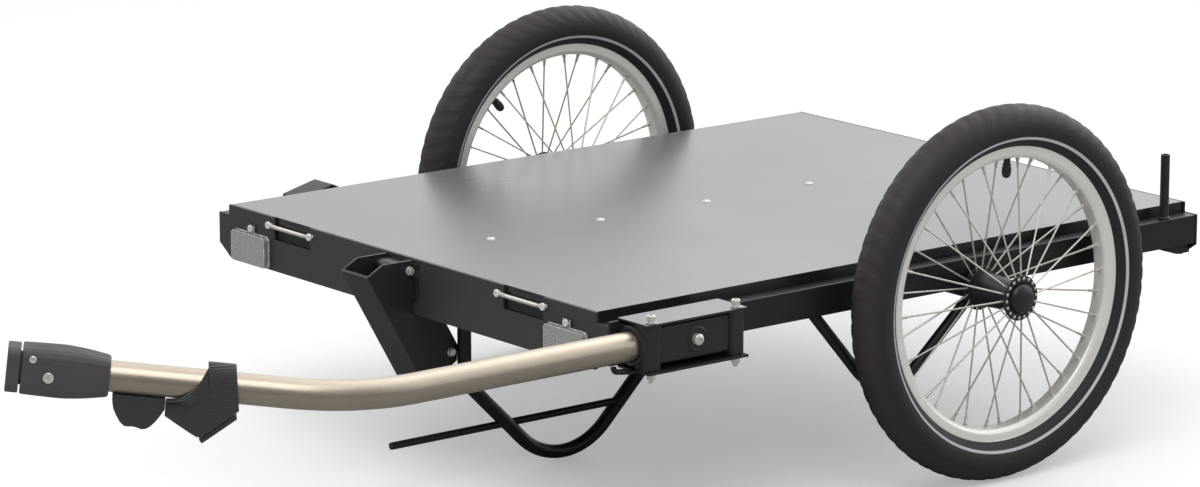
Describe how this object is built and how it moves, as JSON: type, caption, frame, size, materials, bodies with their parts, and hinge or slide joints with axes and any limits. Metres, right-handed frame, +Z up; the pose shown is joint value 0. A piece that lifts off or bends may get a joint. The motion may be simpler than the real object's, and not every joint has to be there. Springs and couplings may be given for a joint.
{
  "type": "cargo bike trailer",
  "caption": "Flat-bed two-wheel cargo trailer for a bicycle: low deck, side drawbar with axle hitch, centre pocket for hand use, fold-down stand and push-button wheels.",
  "frame": {"origin": "on the ground, under the centre of the bounding box", "axes": "+Z up, -Y to the front, where the hitch is, +X to the left side, where the drawbar is"},
  "size_m": [0.8238, 1.4322, 0.4],
  "materials": {
    "deck": "dark film-faced panel, satin",
    "powder_coat": "dark powder coat on steel, satin",
    "zinc_steel": "bright zinc",
    "stainless": "drawn, bright",
    "tube_aluminium": "champagne anodised, drawn",
    "rim_aluminium": "bright, machined",
    "moulded_black": "moulded, fine grain",
    "hitch_rubber": "matt, dark grey",
    "webbing": "ribbed webbing",
    "lens": "clear prismatic lens",
    "tyre": "rubber with a light grey reflective stripe",
    "tube_rubber": "smooth rubber"
  },
  "bodies": {
    "frame": {"deck_panel": "deck", "deck_screw_1": "zinc_steel", "deck_screw_2": "zinc_steel", "deck_screw_3": "zinc_steel", "deck_screw_4": "zinc_steel", "reflector_screw_left": "zinc_steel", "reflector_screw_right": "zinc_steel", "lashing_bar_left": "zinc_steel", "lashing_bar_right": "zinc_steel", "receiver_bolt_front": "zinc_steel", "receiver_bolt_rear": "zinc_steel", "pocket_bolt_upper": "zinc_steel", "pocket_bolt_lower": "zinc_steel", "stand_pin_front": "zinc_steel", "stand_pin_rear": "zinc_steel", "hitch_screw": "zinc_steel", "front_plate": "powder_coat", "rear_plate": "powder_coat", "side_beam_left": "powder_coat", "side_beam_right": "powder_coat", "underframe": "powder_coat", "axle_brace_left": "powder_coat", "axle_brace_right": "powder_coat", "receiver_top_plate": "powder_coat", "receiver_bottom_plate": "powder_coat", "pocket": "powder_coat", "side_bracket_right": "powder_coat", "reflector_left": "lens", "reflector_right": "lens", "receiver_body": "moulded_black", "drawbar_pad": "moulded_black", "strap_buckle": "moulded_black", "pocket_tongue": "moulded_black", "flag_tube": "moulded_black", "hitch_body": "hitch_rubber", "safety_strap": "webbing", "drawbar_tube": "tube_aluminium", "axle_left": "stainless", "axle_right": "stainless"},
    "wheel_left": {"tyre_left": "tyre", "inner_tube_left": "tube_rubber", "rim_left": "rim_aluminium", "spokes_inner_left": "stainless", "spokes_outer_left": "stainless", "hub_left": "moulded_black", "bearings_left": "stainless"},
    "wheel_right": {"tyre_right": "tyre", "inner_tube_right": "tube_rubber", "rim_right": "rim_aluminium", "spokes_inner_right": "stainless", "spokes_outer_right": "stainless", "hub_right": "moulded_black", "bearings_right": "stainless"},
    "stand": {"stand": "powder_coat"},
    "lock_button": {"lock_button": "zinc_steel"},
    "axle_button_left": {"axle_button_left": "moulded_black"},
    "axle_button_right": {"axle_button_right": "moulded_black"},
    "hitch_ring": {"hitch_ring": "hitch_rubber"},
    "hitch_lock_pin": {"hitch_lock_pin": "zinc_steel"}
  },
  "joints": [
    {"name": "wheel_left_spin", "type": "hinge", "parent": "frame", "child": "wheel_left", "pos_m": [0.37175, 0.39172, 0.2], "axis": [1, 0, 0], "continuous": true},
    {"name": "wheel_right_spin", "type": "hinge", "parent": "frame", "child": "wheel_right", "pos_m": [-0.37175, 0.39172, 0.2], "axis": [1, 0, 0], "continuous": true},
    {"name": "stand_fold", "type": "hinge", "parent": "frame", "child": "stand", "pos_m": [0.031, 0.08572, 0.2165], "axis": [0, -1, 0], "range_deg": [0, 75]},
    {"name": "lock_button_press", "type": "slide", "parent": "frame", "child": "lock_button", "axis": [-1, 0, 0], "range_m": [0, 0.011], "stiffness_N_per_m": 700, "springref_m": -0.006},
    {"name": "axle_button_left_press", "type": "slide", "parent": "frame", "child": "axle_button_left", "axis": [-1, 0, 0], "range_m": [0, 0.004], "stiffness_N_per_m": 1500, "springref_m": -0.004},
    {"name": "axle_button_right_press", "type": "slide", "parent": "frame", "child": "axle_button_right", "axis": [1, 0, 0], "range_m": [0, 0.004], "stiffness_N_per_m": 1500, "springref_m": -0.004},
    {"name": "hitch_ring_turn", "type": "hinge", "parent": "frame", "child": "hitch_ring", "pos_m": [0.17994, -0.70383, 0.25678], "axis": [-0.5478, -0.8277, 0.1219], "range_deg": [0, 30]},
    {"name": "hitch_lock_pin_press", "type": "slide", "parent": "frame", "child": "hitch_lock_pin", "axis": [-0.8339, 0.5519, 0], "range_m": [0, 0.004], "stiffness_N_per_m": 1500, "springref_m": -0.003}
  ]
}
